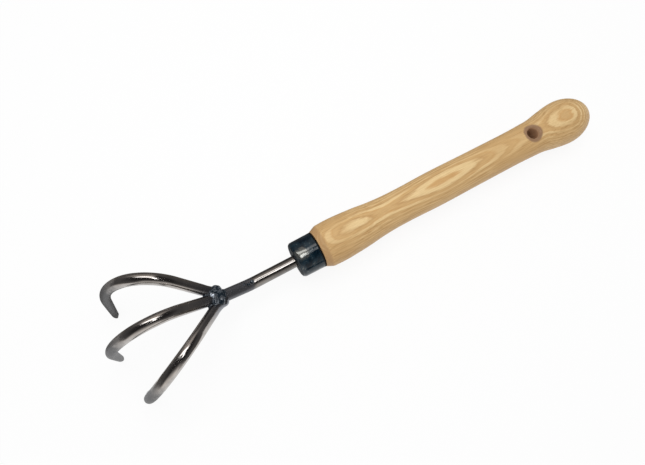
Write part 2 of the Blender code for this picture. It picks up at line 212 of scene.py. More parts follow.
def settle(piece: Object, finish: Material, slot: Slot, *nodes: str) -> None:
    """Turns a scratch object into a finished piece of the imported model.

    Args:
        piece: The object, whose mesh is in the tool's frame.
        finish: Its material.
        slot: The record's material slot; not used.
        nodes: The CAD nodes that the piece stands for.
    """
    mesh = piece.data
    mesh.transform(TOOL)
    mesh.materials.clear()
    mesh.materials.append(finish)
    mesh.shade_smooth()
    mesh.set_sharp_from_angle(angle=SHARP_ANGLE)
    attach(piece, BODY)
    if nodes:
        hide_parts(*nodes)
    LOG.info("%s: %d faces", piece.name, len(mesh.polygons))


def quarter_turn(steps: int) -> list[float]:
    """Angles from nought to a quarter turn."""
    return [math.pi / 2 * step / steps for step in range(steps + 1)]


def turned_solid(outline: Sequence[Station], rounds: dict[int, float], sides: int) -> BMesh:
    """Spins a half outline about the tool's X axis.

    Args:
        outline: Points as distance along the axis and radius. It is closed if it doesn't start on the axis.
        rounds: For an outline point's index, the distance over which its corner is rounded.
        sides: Facets round the axis.

    Returns:
        The solid.
    """
    shape = bmesh.new()
    wire = [shape.verts.new((distance, 0.0, radius)) for distance, radius in outline]
    open_ended = outline[0][1] == 0.0
    for pair in zip(wire, wire[1:] if open_ended else wire[1:] + wire[:1]):
        shape.edges.new(pair)
    for index, reach in rounds.items():
        cut = {"offset": reach, "segments": CORNER_PIECES, "profile": HALF, "material": -1}
        bmesh.ops.bevel(shape, geom=[wire[index]], affect="VERTICES", **cut)
    wires = [*shape.verts, *shape.edges]
    full = {"cent": (0, 0, 0), "dvec": (0, 0, 0), "angle": 2 * math.pi, "use_merge": True}
    bmesh.ops.spin(shape, geom=wires, axis=ALONG, steps=sides, **full)
    return shape


def stations(start: float, runs: Sequence[Station], way: int) -> list[Station]:
    """Where runs end, as distance along the axis and radius, from each run and the diameter at its end."""
    places = list(accumulate((way * run for run, _ in runs), initial=start))[1:]
    return [(place, diameter / 2) for place, (_, diameter) in zip(places, runs)]


def smooth_outline(points: Sequence[Station], step: float) -> list[Station]:
    """A smooth curve through stations, level at the last one.

    Args:
        points: The stations, as distance along the axis and radius.
        step: The spacing that the curve's points keep, about.

    Returns:
        The curve's points, each station among them.
    """
    places, sizes = (np.array(values) for values in zip(*points))
    slopes = np.gradient(sizes, places)
    slopes[-1] = 0.0
    curve = []
    for index, span in enumerate(np.diff(places)):
        count = max(2, round(span / step))
        for u in np.arange(count) / count:
            start = (2 * u**3 - 3 * u**2 + 1) * sizes[index] + (u**3 - 2 * u**2 + u) * span * slopes[index]
            end = (3 * u**2 - 2 * u**3) * sizes[index + 1] + (u**3 - u**2) * span * slopes[index + 1]
            curve.append((float(places[index] + u * span), float(start + end)))
    curve.append((float(places[-1]), float(sizes[-1])))
    return curve


def add_ball(shape: BMesh, spot: Matrix, size: Sequence[float]) -> None:
    """Adds a flattened ball with these half sizes."""
    here = spot @ Matrix.Diagonal((*size, 1.0))
    bmesh.ops.create_icosphere(shape, subdivisions=BALL_DIVISIONS, radius=1.0, matrix=here)


def swept_rod(centres: Sequence[Vector], radii: Sequence[float], side: Vector, sides: int) -> BMesh:
    """Extrudes a circle ring by ring along a line of centres.

    Args:
        centres: The rod's centre line.
        radii: Its radius at each centre.
        side: The direction that the rings keep their first vertex near.
        sides: Facets round the rod.

    Returns:
        The closed rod, with a layer of each vertex's share of its length and one for its ground faces.
    """
    shape = bmesh.new()
    shape.verts.layers.float.new(GROUND_SHARE)
    share = shape.verts.layers.float.new(LENGTH_SHARE)
    runs = list(accumulate(((b - a).length for a, b in zip(centres, centres[1:])), initial=0.0))
    last = len(centres) - 1
    ring = bmesh.ops.create_circle(shape, cap_ends=False, segments=sides, radius=1.0)["verts"]
    edges = list(shape.edges)
    before = Matrix.Identity(4)
    for index, (centre, radius) in enumerate(zip(centres, radii)):
        if index:
            made = bmesh.ops.extrude_edge_only(shape, edges=edges)["geom"]
            ring = [part for part in made if isinstance(part, BMVert)]
            edges = [part for part in made if isinstance(part, BMEdge)]
        direction = (centres[min(index + 1, last)] - centres[max(index - 1, 0)]).normalized()
        sideways = (side - side.dot(direction) * direction).normalized()
        here = axes(sideways, direction.cross(sideways), direction, centre) @ Matrix.Scale(radius, 4)
        bmesh.ops.transform(shape, matrix=here @ before.inverted(), verts=ring)
        before = here
        for vertex in ring:
            vertex[share] = runs[index] / runs[-1]
    bmesh.ops.holes_fill(shape, edges=[edge for edge in shape.edges if edge.is_boundary], sides=0)
    return shape


def grind(shape: BMesh, point: Vector, outward: Vector, reach: float, rim: float) -> None:
    """Grinds a flat on a rod and softens its rim.

    Args:
        shape: The rod.
        point: A point on the ground face.
        outward: The face's normal.
        reach: How far from the point the grinding may go.
        rim: How far the rim is softened.
    """
    near = {vertex for vertex in shape.verts if (vertex.co - point).length < reach}
    faces = [face for face in shape.faces if near.issuperset(face.verts)]
    edges = {edge for face in faces for edge in face.edges}
    parts = faces + list(edges) + list({vertex for edge in edges for vertex in edge.verts})
    made = bmesh.ops.bisect_plane(
        shape, geom=parts, dist=MERGE_DISTANCE, plane_co=point, plane_no=outward, clear_outer=True
    )
    cut = [part for part in made["geom_cut"] if isinstance(part, BMEdge)]
    bmesh.ops.contextual_create(shape, geom=cut)
    soft = {"offset": rim, "segments": RIM_PIECES, "profile": HALF, "material": -1, "clamp_overlap": True}
    bmesh.ops.bevel(shape, geom=cut, affect="EDGES", **soft)
    ground = shape.verts.layers.float[GROUND_SHARE]
    for face in shape.faces:
        off = abs((face.calc_center_median() - point).dot(outward))
        if face.normal.dot(outward) > FLAT_COSINE and off < FLAT_DISTANCE:
            for vertex in face.verts:
                vertex[ground] = 1.0


@dataclass(frozen=True)
class Step:
    """A smooth step from start to end as a value runs from low to high."""

    low: float
    high: float
    start: float = 0.0
    end: float = 1.0

    def moved(self, by: float) -> Step:
        """The same step further along."""
        return Step(self.low + by, self.high + by, self.start, self.end)


NOWHERE = Step(1e4, 2e4)


@dataclass(frozen=True)
class Mottle:
    """A noise: its features per millimetre each way, its detail, its roughness and how far it swings."""

    scale: Triple = (1.0, 1.0, 1.0)
    detail: float = 2.0
    rough: float = 0.5
    swing: float = 1.0


def joined_by(operation: str) -> Callable[[Wire, Wire | float], Wire]:
    """A method that joins a value to another with a Math node."""
    return lambda self, other: self.nodes.math(operation, self, other)


class Wire:
    """A value in a node tree, which plain arithmetic extends by Math nodes."""

    __add__ = joined_by("ADD")
    __sub__ = joined_by("SUBTRACT")
    __mul__ = joined_by("MULTIPLY")
    __truediv__ = joined_by("DIVIDE")
    __pow__ = joined_by("POWER")
    larger = joined_by("MAXIMUM")

    def __init__(self, nodes: Nodes, socket: NodeSocket) -> None:
        """Keeps the nodes and the socket that gives the value."""
        self.nodes = nodes
        self.socket = socket

    def left(self) -> Wire:
        """What a share leaves of the whole."""
        return self.nodes.math("SUBTRACT", 1.0, self)

    def centred(self, swing: float) -> Wire:
        """A 0 to 1 value moved to lie about 0, and scaled."""
        return (self - HALF) * swing

    def step(self, step: Step) -> Wire:
        """A smooth step of the value."""
        feeds = dict(enumerate((self, step.low, step.high, step.start, step.end)))
        return self.nodes.result("MapRange", feeds, interpolation_type="SMOOTHSTEP")

    def scaled(self, scale: Sequence[float]) -> Wire:
        """The vector with each part multiplied."""
        return self.nodes.vector("MULTIPLY", self, scale)

    def split(self) -> list[Wire]:
        """The vector's three parts."""
        return list(self.nodes.wires(self.nodes.add("SeparateXYZ", {0: self})).values())


Feeds = dict[int | str, object]


class Nodes:
    """Adds shader nodes to one tree and joins them."""

    def __init__(self, tree: NodeTree) -> None:
        """Keeps the tree."""
        self.tree = tree

    def feed(self, node: Node, feeds: Feeds) -> None:
        """Feeds a node's inputs.

        Args:
            node: The node.
            feeds: A wire to link or a plain value to set, by the input's number or name.
        """
        for key, value in feeds.items():
            socket = node.inputs[key]
            if isinstance(value, Wire):
                self.tree.links.new(value.socket, socket)
            elif socket.type == "RGBA":
                socket.default_value = (*value, 1.0)
            else:
                socket.default_value = value

    def add(self, kind: str, feeds: Feeds | None = None, **settings: object) -> Node:
        """Adds a node.

        Args:
            kind: Its type without ShaderNode.
            feeds: What goes into its inputs.
            settings: Its properties.

        Returns:
            The node.
        """
        made = self.tree.nodes.new(f"ShaderNode{kind}")
        for name, value in settings.items():
            setattr(made, name, value)
        self.feed(made, feeds or {})
        return made

    def wires(self, node: Node) -> dict[str, Wire]:
        """A node's outputs by name."""
        return {socket.name: Wire(self, socket) for socket in node.outputs}

    def result(self, kind: str, feeds: Feeds, output: int | str = 0, **settings: object) -> Wire:
        """One output of a new node."""
        return Wire(self, self.add(kind, feeds, **settings).outputs[output])

    def math(self, operation: str, *values: Wire | float) -> Wire:
        """A Math node's result."""
        return self.result("Math", dict(enumerate(values)), operation=operation)

    def vector(self, operation: str, *values: Wire | Sequence[float], output: str = "Vector") -> Wire:
        """A Vector Math node's result."""
        return self.result("VectorMath", dict(enumerate(values)), output, operation=operation)

    def noise(self, point: Wire, mottle: Mottle) -> Wire:
        """A noise between 0 and 1."""
        feeds = {"Vector": point.scaled(mottle.scale), "Scale": 1.0, "Detail": mottle.detail}
        return self.result("TexNoise", {**feeds, "Roughness": mottle.rough}, noise_dimensions="3D")

    def swing(self, point: Wire, mottle: Mottle) -> Wire:
        """A noise about 0."""
        return self.noise(point, mottle).centred(mottle.swing)

    def ramp(self, value: Wire, stops: Stops) -> Wire:
        """A colour that runs through stops.

        Args:
            value: The value, from 0 to 1.
            stops: The value and the colour at each stop.

        Returns:
            The colour.
        """
        made = self.add("ValToRGB", {0: value})
        elements = made.color_ramp.elements
        while len(elements) < len(stops):
            elements.new(HALF)
        for element, (place, colour) in zip(elements, stops):
            element.position = place
            element.color = (*colour, 1.0)
        return Wire(self, made.outputs[0])

    def mix(self, share: object, first: object, second: object, blend: str = "MIX") -> Wire:
        """A mix of two colours."""
        feeds = {0: share, MIX_FIRST: first, MIX_SECOND: second}
        return self.result("Mix", feeds, MIX_RESULT, data_type="RGBA", blend_type=blend)

    def group(self, tree: NodeTree, feeds: Feeds) -> dict[str, Wire]:
        """The outputs of a node group that is placed here."""
        return self.wires(self.add("Group", feeds, node_tree=tree))

    def attribute(self, name: str) -> Wire:
        """A layer of the mesh."""
        return self.result("Attribute", {}, "Fac", attribute_name=name)

    def tool_space(self) -> Wire:
        """The shaded point in the tool's frame, from Object coordinates.

        Returns:
            The point, in millimetres.
        """
        back = TOOL.inverted()
        feeds = {"Location": back.translation, "Rotation": back.to_euler(), "Scale": back.to_scale()}
        found = self.result("TexCoord", {}, "Object")
        return self.result("Mapping", {"Vector": found, **feeds}, vector_type="POINT")

    def bump(self, height: Wire, depth: float) -> Wire:
        """A normal from a height between 0 and 1 that stands for a depth in millimetres."""
        return self.result("Bump", {"Strength": 1.0, "Distance": depth * MM, "Height": height})


def new_group(
    name: str, inputs: dict[str, str], outputs: dict[str, str]
) -> tuple[Nodes, dict[str, Wire], Node]:
    """Starts a shader node group.

    Args:
        name: The group's name.
        inputs: Socket names and their kinds, such as Float, Color or Vector.
        outputs: The same for the outputs.

    Returns:
        The group's nodes, its inputs as wires, and its output node.
    """
    tree = bpy.data.node_groups.new(name, "ShaderNodeTree")
    for way, sockets in (("INPUT", inputs), ("OUTPUT", outputs)):
        for label, kind in sockets.items():
            tree.interface.new_socket(name=label, in_out=way, socket_type=f"NodeSocket{kind}")
    nodes = Nodes(tree)
    return nodes, nodes.wires(tree.nodes.new("NodeGroupInput")), tree.nodes.new("NodeGroupOutput")


def new_material(name: str) -> tuple[Material, Nodes, Node]:
    """Starts a material.

    Args:
        name: Its name.

    Returns:
        The material, its nodes and its Principled BSDF.
    """
    made = bpy.data.materials.new(name)
    made.use_nodes = True
    return made, Nodes(made.node_tree), made.node_tree.nodes["Principled BSDF"]


@dataclass(frozen=True)
class AshWood:
    """Turned, sanded ash whose growth rings are cylinders about a pith under the handle, slightly bowed."""

    ring_width: float = 1.40
    ring_start: float = 0.66
    inner_rings: float = 50.0
    pith_depth: float = 85.0
    bow_place: float = 110.8
    bow: float = 0.000537
    shoulder_dip: Step = Step(60.0, 88.0, -0.33, 0.0)
    bulb: Step = Step(198.0, 216.0)
    bulb_fullness: float = 0.0150
    bulb_most: float = 1.5
    wander: Mottle = Mottle((0.014, 0.10, 0.10), 1.0, swing=0.9)
    waver: Mottle = Mottle((0.055, 0.42, 0.42), swing=0.55)
    flame: Mottle = Mottle((0.10, 1.5, 1.5), swing=0.34)
    ring_places: Sequence[float] = (0.0, 0.02, 0.19, 0.50, 0.66, 0.74, 0.86, 0.99)
    line: Colour = (0.580, 0.352, 0.146)
    cream: Colour = (0.835, 0.625, 0.328)
    pink: Colour = (0.635, 0.368, 0.143)
    tan: Colour = (0.655, 0.425, 0.190)
    middle: Colour = (0.640, 0.410, 0.180)
    patches: Mottle = Mottle((0.022, 0.11, 0.11))
    patch_fade: Step = Step(0.40, 0.70, 0.0, 0.22)
    years: Mottle = Mottle((7.3, 0.0, 0.0))
    year_fade: float = 0.22
    flank_fade: Step = Step(4.2, 7.2, 0.0, 0.36)
    calm_start: Step = Step(146.0, 162.0)
    calm_end: Step = Step(204.0, 190.0, 0.0, 0.45)
    front_fade: Step = Step(46.0, 36.0, 0.0, 0.36)
    streaks: Mottle = Mottle((0.045, 1.6, 1.6), rough=0.6)
    streak_tones: Stops = ((0.36, (0.80, 0.73, 0.64)), (0.52, WHITE))
    streak_share: Step = Step(3.0, 7.0, 0.34, 1.0)
    fibres: Mottle = Mottle((0.11, 3.6, 3.6), 3.0, 0.6)
    fibre_tones: Stops = ((0.28, (0.70, 0.62, 0.52)), (0.60, WHITE))
    fibre_share: float = 0.42
    fibre_height: float = 0.35
    early: Step = Step(0.30, 0.02)
    pores: Mottle = Mottle((0.32, 3.0, 3.0), 1.0, 0.4)
    pore_edge: Step = Step(0.60, 0.70)
    late_pores: float = 0.15
    pore: Colour = (0.44, 0.23, 0.085)
    pore_share: float = 0.45
    pore_height: float = 0.65
    bare: Colour = (0.42, 0.235, 0.105)
    bevel_edge: Step = Step(0.6, -1.2, 0.0, 0.6)
    bevel_swing: float = 1.2
    hole_rim: Colour = (0.30, 0.175, 0.10)
    rim_edge: Step = Step(1.3, -0.2, 0.0, 0.94)
    rim_swing: Mottle = Mottle((0.5, 0.5, 0.5))
    hole_wall: Colour = (0.45, 0.26, 0.145)
    hole_edge: Step = Step(0.7, 0.1)
    hole_share: float = 0.92
    roughness: float = 0.44
    early_roughness: float = 0.12
    hole_roughness: float = 0.3
    ior: float = 1.46
    specular: float = 0.35
    relief: float = 0.09

    def grain_group(self) -> NodeTree:
        """The growth rings, pores and fibres of ash, for a point in the tool's frame.

        Returns:
            A group with a Color, an Early wood mask and a Height.
        """
        nodes, entry, leave = new_group(
            "ash_grain", {"Point": "Vector"}, {"Color": "Color", "Early wood": "Float", "Height": "Float"}
        )
        point = entry["Point"]
        along, across, up = point.split()
        flank = nodes.math("ABSOLUTE", across)
        depth = nodes.math("SQRT", across**2 + (up + self.pith_depth) ** 2) - self.pith_depth
        depth += (along - self.bow_place) ** 2 * -self.bow
        depth += along.step(self.shoulder_dip)
        fullness = nodes.math("TANH", across**2 * (self.bulb_fullness / self.bulb_most)) * self.bulb_most
        depth += fullness * along.step(self.bulb)
        for mottle in (self.wander, self.waver, self.flame):
            depth += nodes.swing(point, mottle)
        count = (depth + self.inner_rings * self.ring_width) / self.ring_width + self.ring_start
        ring = nodes.math("FRACT", count)
        year = nodes.result("CombineXYZ", {0: nodes.math("FLOOR", count)})
        colours = (self.line, self.line, self.cream, self.cream, self.pink, self.tan, self.tan, self.line)
        tone = nodes.ramp(ring, list(zip(self.ring_places, colours)))
        fade = nodes.noise(point, self.patches).step(self.patch_fade)
        fade += nodes.noise(year, self.years) * self.year_fade
        fade += flank.step(self.flank_fade)
        fade += along.step(self.calm_start) * along.step(self.calm_end)
        tone = nodes.mix(fade + along.step(self.front_fade), tone, self.middle)
        lines = nodes.ramp(nodes.noise(point, self.streaks), self.streak_tones)
        tone = nodes.mix(flank.step(self.streak_share), tone, lines, "MULTIPLY")
        fibre = nodes.noise(point, self.fibres)
        tone = nodes.mix(self.fibre_share, tone, nodes.ramp(fibre, self.fibre_tones), "MULTIPLY")
        early = ring.step(self.early)
        pore = nodes.noise(point, self.pores).step(self.pore_edge)
        pore = pore * (early * (1 - self.late_pores) + self.late_pores)
        tone = nodes.mix(pore * self.pore_share, tone, self.pore)
        height = fibre * self.fibre_height - pore * self.pore_height + self.pore_height
        nodes.feed(leave, {"Color": tone, "Early wood": early, "Height": height})
        return nodes.tree

    def build(self, hole_place: float, hole_radius: float, rim_radius: float, front: float) -> Material:
        """Makes the material.

        Args:
            hole_place: Where along the tool the hang hole is.
            hole_radius: The hole's radius.
            rim_radius: The radius at which its eased rim ends.
            front: Where along the tool the shoulder's bevel ends.

        Returns:
            The material.
        """
        made, nodes, shader = new_material("turned_ash")
        point = nodes.tool_space()
        grain = nodes.group(self.grain_group(), {"Point": point})
        along, across, _ = point.split()
        reach = nodes.math("SQRT", (along - hole_place) ** 2 + across**2)
        in_rim = (reach + nodes.swing(point, self.rim_swing)).step(self.rim_edge.moved(rim_radius))
        in_hole = reach.step(self.hole_edge.moved(hole_radius))
        bevel = (along + grain["Height"].centred(self.bevel_swing)).step(self.bevel_edge.moved(front))
        tone = nodes.mix(in_rim, nodes.mix(bevel, grain["Color"], self.bare), self.hole_rim)
        rough = grain["Early wood"] * self.early_roughness + self.roughness
        feeds = {
            "Base Color": nodes.mix(in_hole * self.hole_share, tone, self.hole_wall),
            "Roughness": rough + in_hole * self.hole_roughness,
            "IOR": self.ior,
            "Specular IOR Level": self.specular,
            "Normal": nodes.bump(grain["Height"], self.relief),
        }
        nodes.feed(shader, feeds)
        return made


@dataclass(frozen=True)
class Patina:
    """Uneven colour and shine of dark steel, shared by every steel finish."""

    cloud: Mottle = Mottle(detail=4.0, rough=0.62, swing=0.5)
    speck: Mottle = Mottle((1.7, 1.7, 1.7), swing=0.25)
    scale: Mottle = Mottle((5.5, 5.5, 5.5), rough=0.6, swing=0.3)
    light_edge: Step = Step(0.34, 0.68)
    speck_height: float = 0.6
    scale_height: float = 0.4

    def group(self) -> NodeTree:
        """Makes the node group.

        Returns:
            A group that takes Point, Cloud size, Dark and Light, and gives Color, Shine and Height.
        """
        nodes, entry, leave = new_group(
            "steel_patina",
            {"Point": "Vector", "Cloud size": "Float", "Dark": "Color", "Light": "Color"},
            {"Color": "Color", "Shine": "Float", "Height": "Float"},
        )
        point = entry["Point"]
        fine = nodes.math("DIVIDE", 1.0, entry["Cloud size"])
        scaled = nodes.result("VectorMath", {0: point, "Scale": fine}, operation="SCALE")
        cloud = nodes.noise(scaled, self.cloud)
        speck = nodes.noise(point, self.speck)
        scale = nodes.noise(point, self.scale)
        share = (cloud + speck.centred(self.speck.swing)).step(self.light_edge)
        feeds = {
            "Color": nodes.mix(share, entry["Dark"], entry["Light"]),
            "Shine": cloud.centred(self.cloud.swing) + scale.centred(self.scale.swing),
            "Height": speck * self.speck_height + scale * self.scale_height,
        }
        nodes.feed(leave, feeds)
        return nodes.tree


@dataclass(frozen=True, kw_only=True)
class Steel(ABC):
    """What the steel finishes share: a patina of two tones, its uneven shine and its relief."""

    name: str
    patina: NodeTree
    dark: Colour
    light: Colour
    cloud_size: float = 10.0
    roughness: float = 0.13
    uneven: float = 0.25
    relief: float = 0.0014

    def build(self) -> Material:
        """Makes the material.

        Returns:
            The material.
        """
        made, nodes, shader = new_material(self.name)
        point = nodes.tool_space()
        feeds = {"Point": point, "Cloud size": self.cloud_size, "Dark": self.dark, "Light": self.light}
        coat = nodes.group(self.patina, feeds)
        rough = coat["Shine"] * self.uneven + self.roughness
        nodes.feed(shader, self.looks(nodes, point, coat["Color"], rough))
        nodes.feed(shader, {"Normal": nodes.bump(coat["Height"], self.relief)})
        return made

    @abstractmethod
    def looks(self, nodes: Nodes, point: Wire, tone: Wire, rough: Wire) -> Feeds:
        """What sets one finish apart from another.

        Args:
            nodes: The material's nodes.
            point: The shaded point.
            tone: The patina's colour.
            rough: The patina's roughness.

        Returns:
            What goes into the shader.
        """


@dataclass(frozen=True, kw_only=True)
class DrawnSteel(Steel):
    """Dark drawn steel, dull with scale near the weld, duller again where a hook was ground."""

    knot: Vector
    scale_edge: Step
    scale: Colour = (0.125, 0.126, 0.137)
    scale_matt: float = 0.0
    scale_roughness: float = 0.15
    scale_swing: float = 2.5
    wobble: Mottle = Mottle((0.3, 0.3, 0.3), 3.0)
    hook_edge: Step = Step(0.52, 0.66)
    hook: Colour = (0.115, 0.115, 0.118)
    hook_matt: float = 0.85
    hook_roughness: float = 0.30
    hook_swing: float = 0.10
    ground: Colour = (0.17, 0.17, 0.175)
    ground_roughness: float = 0.12
    point_edge: Step = Step(0.93, 0.97)
    scratches: Mottle = Mottle((1.2, 6.0, 6.0))
    scratch_edge: Step = Step(1.0, 0.2, 0.5)

    def looks(self, nodes: Nodes, point: Wire, tone: Wire, rough: Wire) -> Feeds:
        """Its colour, metal and roughness.

        Args:
            nodes: The material's nodes.
            point: The shaded point.
            tone: The patina's colour.
            rough: The patina's roughness.

        Returns:
            What goes into the shader.
        """
        cloud = nodes.swing(point, self.wobble)
        share = nodes.attribute(LENGTH_SHARE)
        flat = nodes.attribute(GROUND_SHARE)
        dull = (share + cloud * self.hook_swing).step(self.hook_edge)
        bright = share.step(self.point_edge) * nodes.noise(point, self.scratches).step(self.scratch_edge)
        tone = nodes.mix(flat, nodes.mix(dull, tone, self.hook), nodes.mix(bright, self.hook, self.ground))
        away = nodes.vector("DISTANCE", point, self.knot, output="Value")
        scaled = (away + cloud * self.scale_swing).step(self.scale_edge)
        rough = rough + scaled * self.scale_roughness + dull * self.hook_roughness
        return {
            "Base Color": nodes.mix(scaled, tone, self.scale),
            "Metallic": (dull * self.hook_matt).larger(scaled * self.scale_matt).left(),
            "Roughness": rough + flat * self.ground_roughness,
        }


@dataclass(frozen=True, kw_only=True)
class BluedSteel(Steel):
    """Steel under a blue-black skin that has worn through in places; a rear band can be made matt and
    painted near black as shade where the cap meets the wood.
    """

    bare: Colour
    worn_above: float
    worn_edge: Step = Step(0.0, 0.16)
    patch: Mottle = Mottle(detail=3.0, rough=0.65, swing=7.0)
    fleck: Mottle = Mottle((0.95, 0.95, 0.95), swing=0.5)
    rubbed: Triple | None = None
    rub_stretch: Triple = (0.72, 1.0, 1.0)
    rub_fleck: float = 3.0
    rub_edge: Step = Step(4.8, 1.8, 0.0, 0.85)
    front_matt: Step = NOWHERE
    # The rear band is made matt and painted near black: painted shade where the cap's rear lip meets the
    # wood.
    rear_matt_and_shade: Step = NOWHERE
    rear_lip_shade: Colour = (0.001, 0.002, 0.003)
    metal: float = 0.9
    matt_roughness: float = 0.62
    ior: float = 1.45

    def looks(self, nodes: Nodes, point: Wire, tone: Wire, rough: Wire) -> Feeds:
        """Its colour, metal, roughness and gloss.

        Args:
            nodes: The material's nodes.
            point: The shaded point.
            tone: The patina's colour.
            rough: The patina's roughness.

        Returns:
            What goes into the shader.
        """
        patch = nodes.noise(point.scaled((1 / self.cloud_size,) * 3), self.patch)
        fleck = nodes.noise(point, self.fleck)
        worn = (patch + fleck.centred(self.fleck.swing)).step(self.worn_edge.moved(self.worn_above))
        if self.rubbed:
            middle = [part * stretch for part, stretch in zip(self.rubbed, self.rub_stretch)]
            away = nodes.vector("DISTANCE", point.scaled(self.rub_stretch), middle, output="Value")
            reach = away + patch.centred(self.patch.swing) + fleck.centred(self.rub_fleck)
            worn = worn.larger(reach.step(self.rub_edge))
        along = point.split()[0]
        # Painted shade: the rear band, where the cap meets the wood, is painted near black and made matt.
        rear = along.step(self.rear_matt_and_shade)
        matt = along.step(self.front_matt).larger(rear)
        worn = worn * matt.left()
        return {
            "Base Color": nodes.mix(worn, nodes.mix(rear, tone, self.rear_lip_shade), self.bare),
            "Metallic": worn * self.metal,
            "Roughness": rough + matt * self.matt_roughness,
            "IOR": self.ior,
        }


@dataclass
class Handle:
    """The turned ash handle, with its tang bore and its hang hole."""

    sides: int = 144
    step: float = 1.6
    shoulder_face: float = 17.3
    shoulder_foot: float = 12.95
    foot_round: float = 0.25
    shoulder_round: float = 0.7
    length: float = 230.5
    spigot_front: float = 1.8
    spigot_radius: float = 11.0
    spigot_chamfer: float = 1.5
    bore_radius: float = 4.4
    bore_taper_start: float = 30.0
    bore_bottom: float = 78.3
    bore_tip_radius: float = 2.55
    front_runs: Sequence[Station] = (
        (4.8, 30.3), (8.2, 30.8), (12.1, 29.8), (9.1, 28.4), (9.1, 26.4), (10.9, 24.9), (12.5, 24.5)
    )
    bulb_runs: Sequence[Station] = ((22.3, 33.3), (13.5, 30.2), (10.0, 26.6), (12.0, 25.4))
    grip_shares: Sequence[Station] = ((0.236, 25.5), (0.613, 25.0))
    dome_steps: int = 26
    hole_from_end: float = 54.8
    hole_radius: float = 4.0
    hole_ease: float = 2.3
    hole_sides: int = 64
    ease_steps: int = 8
    cutter_spare: float = 3.0
    wood: AshWood = AshWood()

    @property
    def end(self) -> float:
        """Where along the tool the bulb ends."""
        return self.shoulder_face + self.length

    @property
    def hole_place(self) -> float:
        """Where along the tool the hang hole is."""
        return self.end - self.hole_from_end

    def side(self) -> list[Station]:
        """The outer side, from the shoulder to the bulb's pole.

        Returns:
            Its points.
        """
        front = stations(self.shoulder_face, self.front_runs, 1)
        bulb = stations(self.end, self.bulb_runs, -1)[::-1]
        start, (crest, radius) = front[-1][0], bulb[-1]
        reach = bulb[0][0] - start
        grip = [(start + share * reach, diameter / 2) for share, diameter in self.grip_shares]
        angles = quarter_turn(self.dome_steps)[1:-1]
        dome = [(crest + (self.end - crest) * math.sin(a), radius * math.cos(a)) for a in angles]
        return smooth_outline(front + grip + bulb, self.step) + dome + [(self.end, 0.0)]

    def cutter(self, wall: float) -> Object:
        """A bar for the hang hole that flares in a quarter round where it leaves the wood.

        Args:
            wall: How far from the tool's axis the wood ends.

        Returns:
            The bar.
        """
        radius, ease = self.hole_radius, self.hole_ease
        angles = quarter_turn(self.ease_steps)
        flare = [(wall - ease * (1 - math.sin(a)), radius + ease * (1 - math.cos(a))) for a in angles]
        high = wall + self.cutter_spare
        top = flare + [(high, flare[-1][1]), (high, 0.0)]
        bottom = [(-place, size) for place, size in reversed(top)]
        shape = turned_solid(bottom + top, {}, self.hole_sides)
        shape.transform(Matrix.Translation(self.hole_place * ALONG) @ Matrix.Rotation(-math.pi / 2, 4, "Y"))
        return scratch_object("hole_cutter", shape)

    def build(self) -> None:
        """Turns the handle, bores it and dresses it."""
        side = self.side()
        outline = [
            (self.bore_bottom, 0.0),
            (self.bore_bottom, self.bore_tip_radius),
            (self.bore_taper_start, self.bore_radius),
            (self.spigot_front, self.bore_radius),
            (self.spigot_front, self.spigot_radius - self.spigot_chamfer),
            (self.spigot_front + self.spigot_chamfer, self.spigot_radius),
            (self.shoulder_face, self.spigot_radius),
            (self.shoulder_face, self.shoulder_foot),
        ]
        foot = len(outline) - 1
        rounds = {foot: self.foot_round, foot + 1: self.shoulder_round}
        made = scratch_object("ash_handle", turned_solid(outline + side, rounds, self.sides))
        cut_away(made, self.cutter(float(np.interp(self.hole_place, *zip(*side)))))
        front = self.shoulder_face + self.front_runs[0][0]
        rim = self.hole_radius + self.hole_ease
        settle(made, self.wood.build(self.hole_place, self.hole_radius, rim, front), Slot.WOOD, "handle")


@dataclass
class Ferrule:
    """The drawn steel cap over the handle's front end."""

    finish: Material
    sides: int = 128
    length: float = 17.0
    radius: float = 12.5
    rear_radius: float = 12.75
    wall: float = 1.2
    front_wall: float = 1.5
    hole_radius: float = 4.4
    hole_round: float = 0.3
    corner: float = 2.4
    lip: float = 0.4
    rings: int = 14
    dent_scale: float = 0.22
    dent_depth: float = 0.09

    def build(self) -> None:
        """Spins the cap, dents it very slightly and dresses it."""
        outline = [
            (0.0, self.hole_radius),
            (0.0, self.radius),
            (self.length, self.rear_radius),
            (self.length, self.rear_radius - self.wall),
            (self.front_wall, self.radius - self.wall),
            (self.front_wall, self.hole_radius),
        ]
        rounds = {0: self.hole_round, 1: self.corner, 2: self.lip, 4: self.corner - self.wall}
        shape = turned_solid(outline, rounds, self.sides)
        long_edges = [
            edge for edge in shape.edges if abs(edge.verts[0].co.x - edge.verts[1].co.x) > self.length / 2
        ]
        bmesh.ops.subdivide_edges(shape, edges=long_edges, cuts=self.rings, use_grid_fill=True)
        for vertex in shape.verts:
            spoke = vertex.co - Vector((vertex.co.x, 0.0, 0.0))
            dent = noise.noise(vertex.co * self.dent_scale) * self.dent_depth
            if spoke.length > self.radius - self.wall / 2:
                vertex.co -= spoke.normalized() * abs(dent)
        settle(scratch_object("ferrule_cap", shape), self.finish, Slot.FERRULE, "ferrule")


